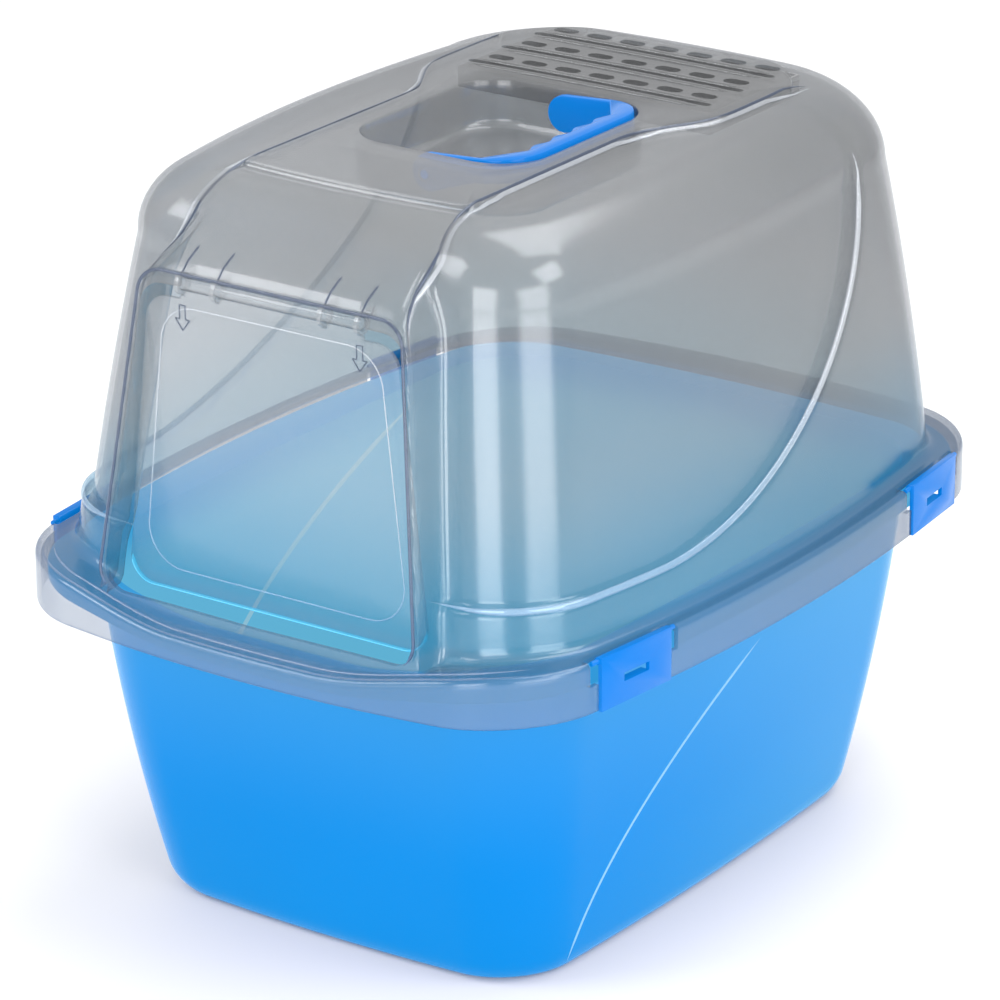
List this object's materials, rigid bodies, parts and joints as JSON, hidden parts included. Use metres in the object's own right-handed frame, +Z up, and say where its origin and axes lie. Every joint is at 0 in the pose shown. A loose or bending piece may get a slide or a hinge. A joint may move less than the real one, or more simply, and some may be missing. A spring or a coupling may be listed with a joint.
{
  "type": "hooded cat litter box",
  "caption": "Deep pan under a see-through hood with a swinging door flap, folding roof handle, side latches, and a vent with a filter tray.",
  "frame": {"origin": "on the floor under the middle of the box", "axes": "+Z up, the doorway faces -Y, and the long sides face +X and -X"},
  "size_m": [0.38, 0.4988, 0.4204],
  "materials": {
    "pan_blue": "glossy, slightly see-through blue polypropylene",
    "smoky_clear": "glossy smoky grey see-through plastic",
    "flap_clear": "glossy faintly smoky clear plastic",
    "trim_blue": "satin blue plastic",
    "tray_grey": "matt dark grey plastic",
    "filter_pad": "fibrous charcoal pad"
  },
  "bodies": {
    "pan": {"litter_pan": "pan_blue"},
    "hood": {"hood_shell": "smoky_clear"},
    "flap": {"door_flap": "flap_clear"},
    "handle": {"carry_handle": "trim_blue"},
    "filter": {"filter_tray": "tray_grey", "air_filter": "filter_pad"},
    "latch_fr": {"latch_front_right": "trim_blue"},
    "latch_rr": {"latch_rear_right": "trim_blue"},
    "latch_fl": {"latch_front_left": "trim_blue"},
    "latch_rl": {"latch_rear_left": "trim_blue"}
  },
  "joints": [
    {"name": "hood_lift", "type": "slide", "parent": "pan", "child": "hood", "axis": [0, 0, 1], "range_m": [0, 0.25]},
    {"name": "flap_swing", "type": "hinge", "parent": "hood", "child": "flap", "pos_m": [0, -0.2129, 0.3733], "axis": [1, 0, 0], "range_deg": [-80, 80]},
    {"name": "handle_fold", "type": "hinge", "parent": "hood", "child": "handle", "pos_m": [0, -0.009, 0.4065], "axis": [0, -1, 0], "range_deg": [0, 100]},
    {"name": "filter_pull", "type": "slide", "parent": "hood", "child": "filter", "axis": [0, 0, -1], "range_m": [0, 0.08]},
    {"name": "latch_fr_swing", "type": "hinge", "parent": "hood", "child": "latch_fr", "pos_m": [0.17906, -0.14968, 0.2053], "axis": [-0.1055, -0.9944, 0], "range_deg": [0, 100]},
    {"name": "latch_rr_swing", "type": "hinge", "parent": "hood", "child": "latch_rr", "pos_m": [0.17906, 0.14968, 0.2053], "axis": [0.1055, -0.9944, 0], "range_deg": [0, 100]},
    {"name": "latch_fl_swing", "type": "hinge", "parent": "hood", "child": "latch_fl", "pos_m": [-0.17906, -0.14968, 0.2053], "axis": [-0.1055, 0.9944, 0], "range_deg": [0, 100]},
    {"name": "latch_rl_swing", "type": "hinge", "parent": "hood", "child": "latch_rl", "pos_m": [-0.17906, 0.14968, 0.2053], "axis": [0.1055, 0.9944, 0], "range_deg": [0, 100]}
  ]
}
